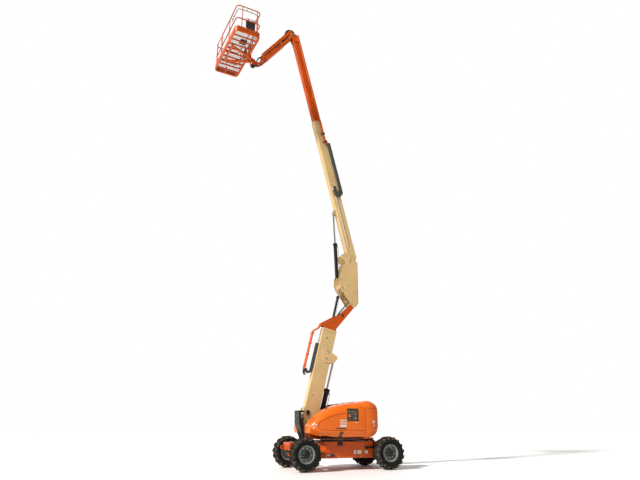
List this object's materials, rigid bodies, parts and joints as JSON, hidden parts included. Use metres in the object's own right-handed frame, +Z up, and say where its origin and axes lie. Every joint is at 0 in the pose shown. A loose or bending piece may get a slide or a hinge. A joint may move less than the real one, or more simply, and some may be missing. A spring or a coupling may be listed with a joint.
{
  "type": "articulating boom lift",
  "caption": "Self-propelled articulating boom lift with a folding telescopic tower, telescopic main boom, jib and rotating work platform.",
  "frame": {"origin": "on the ground under the slewing axis", "axes": "+X towards the steering axle, +Y to the machine's left, +Z up"},
  "size_m": [6.0836, 2.5104, 15.465],
  "materials": {
    "orange_paint": "gloss",
    "orange_moulding": "gloss",
    "cream_paint": "satin",
    "black_paint": "satin",
    "chrome_rod": "polished",
    "tyre_rubber": "matte",
    "grey_paint": "satin",
    "bearing_steel": "satin",
    "cast_weight": "painted",
    "track_plastic": "matte",
    "hose_rubber": "matte",
    "panel_plastic": "matte"
  },
  "bodies": {
    "chassis": {"chassis_frame": "orange_paint", "front_axle": "orange_paint", "rear_axle": "orange_paint", "slewing_ring": "bearing_steel", "tie_downs_front": "orange_paint", "tie_downs_rear": "orange_paint"},
    "steer_left": {"knuckle_left": "orange_paint"},
    "steer_right": {"knuckle_right": "orange_paint"},
    "steer_bar": {"tie_rod": "black_paint"},
    "wheel_front_left": {"tyre_front_left": "tyre_rubber", "rim_front_left": "grey_paint"},
    "wheel_front_right": {"tyre_front_right": "tyre_rubber", "rim_front_right": "grey_paint"},
    "wheel_rear_left": {"tyre_rear_left": "tyre_rubber", "rim_rear_left": "grey_paint"},
    "wheel_rear_right": {"tyre_rear_right": "tyre_rubber", "rim_rear_right": "grey_paint"},
    "turntable": {"turntable_deck": "orange_paint", "tower_mounts": "cream_paint", "front_guard": "black_paint", "counterweight": "cast_weight", "engine_block": "cast_weight", "control_panel": "panel_plastic"},
    "left_hood": {"hood_left": "orange_moulding"},
    "right_hood": {"hood_right": "orange_moulding"},
    "lower_lift_barrel": {"tower_lift_barrel": "black_paint"},
    "lower_lift_rod": {"tower_lift_rod": "chrome_rod"},
    "lower_tower": {"tower_base": "cream_paint"},
    "upper_tower": {"tower_fly": "orange_paint", "tower_hose_carrier": "orange_paint"},
    "lower_track": {"tower_track": "track_plastic"},
    "upright": {"upright_frame": "cream_paint"},
    "leveller_barrel": {"level_barrel": "black_paint"},
    "leveller_rod": {"level_rod": "chrome_rod"},
    "main_boom": {"main_base": "cream_paint"},
    "main_cylinder_barrel": {"main_lift_barrel": "black_paint"},
    "main_cylinder_rod": {"main_lift_rod": "chrome_rod"},
    "main_extension": {"main_fly": "orange_paint", "main_push_tube": "orange_paint"},
    "upper_track": {"main_track": "track_plastic"},
    "jib_bracket": {"jib_root": "orange_paint"},
    "jib_beam": {"jib_arm": "orange_paint"},
    "jib_stay": {"jib_link": "orange_paint"},
    "jib_nose": {"jib_end": "orange_paint"},
    "jib_cylinder_barrel": {"jib_lift_barrel": "black_paint"},
    "jib_cylinder_rod": {"jib_lift_rod": "chrome_rod"},
    "platform": {"platform_support": "orange_paint", "platform_floor": "orange_paint", "platform_rails": "orange_paint", "console": "panel_plastic"},
    "gate_leaf": {"gate": "orange_paint"}
  },
  "joints": [
    {"name": "swing", "type": "hinge", "parent": "chassis", "child": "turntable", "pos_m": [0, 0, 0.83], "axis": [0, 0, 1], "range_deg": [-180, 180]},
    {"name": "steer_left", "type": "hinge", "parent": "chassis", "child": "steer_left", "pos_m": [1.275, 0.59, 0.45], "axis": [0, 0, 1], "range_deg": [-35, 35]},
    {"name": "steer_right", "type": "hinge", "parent": "chassis", "child": "steer_right", "pos_m": [1.275, -0.59, 0.45], "axis": [0, 0, 1], "range_deg": [-35.5, 35.5]},
    {"name": "tie_rod_travel", "type": "slide", "parent": "chassis", "child": "steer_bar", "axis": [0, 1, 0], "range_m": [-0.11, 0.11]},
    {"name": "spin_front_left", "type": "hinge", "parent": "steer_left", "child": "wheel_front_left", "pos_m": [1.275, 0.88, 0.45], "axis": [0, 1, 0], "continuous": true},
    {"name": "spin_front_right", "type": "hinge", "parent": "steer_right", "child": "wheel_front_right", "pos_m": [1.275, -0.88, 0.45], "axis": [0, 1, 0], "continuous": true},
    {"name": "spin_rear_left", "type": "hinge", "parent": "chassis", "child": "wheel_rear_left", "pos_m": [-1.275, 0.88, 0.45], "axis": [0, 1, 0], "continuous": true},
    {"name": "spin_rear_right", "type": "hinge", "parent": "chassis", "child": "wheel_rear_right", "pos_m": [-1.275, -0.88, 0.45], "axis": [0, 1, 0], "continuous": true},
    {"name": "hood_left_open", "type": "hinge", "parent": "turntable", "child": "left_hood", "pos_m": [0, 0.306, 1.868], "axis": [1, 0, 0], "range_deg": [0, 75]},
    {"name": "hood_right_open", "type": "hinge", "parent": "turntable", "child": "right_hood", "pos_m": [0, -0.306, 1.868], "axis": [-1, 0, 0], "range_deg": [0, 75]},
    {"name": "tower_lift", "type": "hinge", "parent": "turntable", "child": "lower_tower", "pos_m": [0.975, 0, 1.569], "axis": [0, -1, 0], "range_deg": [0, 74]},
    {"name": "tower_lift_barrel_turn", "type": "hinge", "parent": "turntable", "child": "lower_lift_barrel", "pos_m": [0.62, 0, 1], "axis": [0, -1, 0], "range_deg": [-1, 74]},
    {"name": "tower_lift_stroke", "type": "slide", "parent": "lower_lift_barrel", "child": "lower_lift_rod", "axis": [0.2445, 0, -0.9696], "range_m": [-0.001, 0.7992]},
    {"name": "tower_extend", "type": "slide", "parent": "lower_tower", "child": "upper_tower", "axis": [0.2368, 0, -0.9715], "range_m": [-1.8, 0]},
    {"name": "tower_track_travel", "type": "slide", "parent": "lower_tower", "child": "lower_track", "axis": [0.2368, 0, -0.9715], "range_m": [-0.901, 0.001]},
    {"name": "upright_level", "type": "hinge", "parent": "upper_tower", "child": "upright", "pos_m": [-0.595, 0, 4.898], "axis": [0, -1, 0], "range_deg": [-75, 1]},
    {"name": "level_barrel_turn", "type": "hinge", "parent": "upper_tower", "child": "leveller_barrel", "pos_m": [0.1, -0.163, 4.15], "axis": [0, -1, 0], "range_deg": [-52, 1]},
    {"name": "level_stroke", "type": "slide", "parent": "leveller_barrel", "child": "leveller_rod", "axis": [0.2279, 0, -0.9737], "range_m": [-0.001, 1.03]},
    {"name": "main_lift", "type": "hinge", "parent": "upright", "child": "main_boom", "pos_m": [-0.415, 0, 6.451], "axis": [0, 1, 0], "range_deg": [0, 76]},
    {"name": "main_lift_barrel_turn", "type": "hinge", "parent": "upright", "child": "main_cylinder_barrel", "pos_m": [-0.069, 0, 5.749], "axis": [0, 1, 0], "range_deg": [-1, 63]},
    {"name": "main_lift_stroke", "type": "slide", "parent": "main_cylinder_barrel", "child": "main_cylinder_rod", "axis": [-0.0472, 0, -0.9989], "range_m": [-0.001, 0.8413]},
    {"name": "main_extend", "type": "slide", "parent": "main_boom", "child": "main_extension", "axis": [-0.2419, 0, -0.9703], "range_m": [0, 3.4]},
    {"name": "main_track_travel", "type": "slide", "parent": "main_boom", "child": "upper_track", "axis": [-0.2419, 0, -0.9703], "range_m": [-0.001, 1.701]},
    {"name": "jib_level", "type": "hinge", "parent": "main_extension", "child": "jib_bracket", "pos_m": [1.69193, 0, 15.228], "axis": [0, 1, 0], "range_deg": [-77, 1]},
    {"name": "jib_lift", "type": "hinge", "parent": "jib_bracket", "child": "jib_beam", "pos_m": [1.78, 0, 15.07], "axis": [0, 1, 0], "range_deg": [-123, 7]},
    {"name": "jib_link_turn", "type": "hinge", "parent": "jib_bracket", "child": "jib_stay", "pos_m": [1.75, 0, 15.4], "axis": [0, 1, 0], "range_deg": [-124, 8]},
    {"name": "jib_end_level", "type": "hinge", "parent": "jib_beam", "child": "jib_nose", "pos_m": [2.80309, 0, 13.71232], "axis": [0, 1, 0], "range_deg": [-8, 124]},
    {"name": "jib_barrel_turn", "type": "hinge", "parent": "jib_bracket", "child": "jib_cylinder_barrel", "pos_m": [1.687, 0, 15.269], "axis": [0, 1, 0], "range_deg": [-118, 8]},
    {"name": "jib_stroke", "type": "slide", "parent": "jib_cylinder_barrel", "child": "jib_cylinder_rod", "axis": [0.6843, 0, -0.7292], "range_m": [-0.378, 0.023]},
    {"name": "platform_rotate", "type": "hinge", "parent": "jib_nose", "child": "platform", "pos_m": [3.13, 0, 13.64], "axis": [0, 0, 1], "range_deg": [-98, 82]},
    {"name": "gate_swing", "type": "hinge", "parent": "platform", "child": "gate_leaf", "pos_m": [4.25368, -0.33588, 14], "axis": [0, 0, -1], "range_deg": [0, 90]}
  ],
  "couplings": [
    {"joint": "steer_right", "follows": "steer_left", "ratio": 1},
    {"joint": "tie_rod_travel", "follows": "steer_left", "m_per_rad": -0.17},
    {"joint": "tower_lift_barrel_turn", "follows": "tower_lift", "ratio": 0.94832},
    {"joint": "tower_lift_stroke", "follows": "tower_lift", "m_per_rad": 0.618},
    {"joint": "tower_track_travel", "follows": "tower_extend", "ratio": 0.5},
    {"joint": "upright_level", "follows": "tower_lift", "ratio": -1},
    {"joint": "level_barrel_turn", "follows": "tower_lift", "ratio": -0.68583},
    {"joint": "level_stroke", "follows": "tower_lift", "m_per_rad": 0.79672},
    {"joint": "main_lift_barrel_turn", "follows": "main_lift", "ratio": 0.8155},
    {"joint": "main_lift_stroke", "follows": "main_lift", "m_per_rad": 0.63349},
    {"joint": "main_track_travel", "follows": "main_extend", "ratio": 0.5},
    {"joint": "jib_level", "follows": "main_lift", "ratio": -1},
    {"joint": "jib_link_turn", "follows": "jib_lift", "ratio": 1},
    {"joint": "jib_end_level", "follows": "jib_lift", "ratio": -1},
    {"joint": "jib_barrel_turn", "follows": "jib_lift", "ratio": 0.94547},
    {"joint": "jib_stroke", "follows": "jib_lift", "m_per_rad": 0.17501}
  ]
}
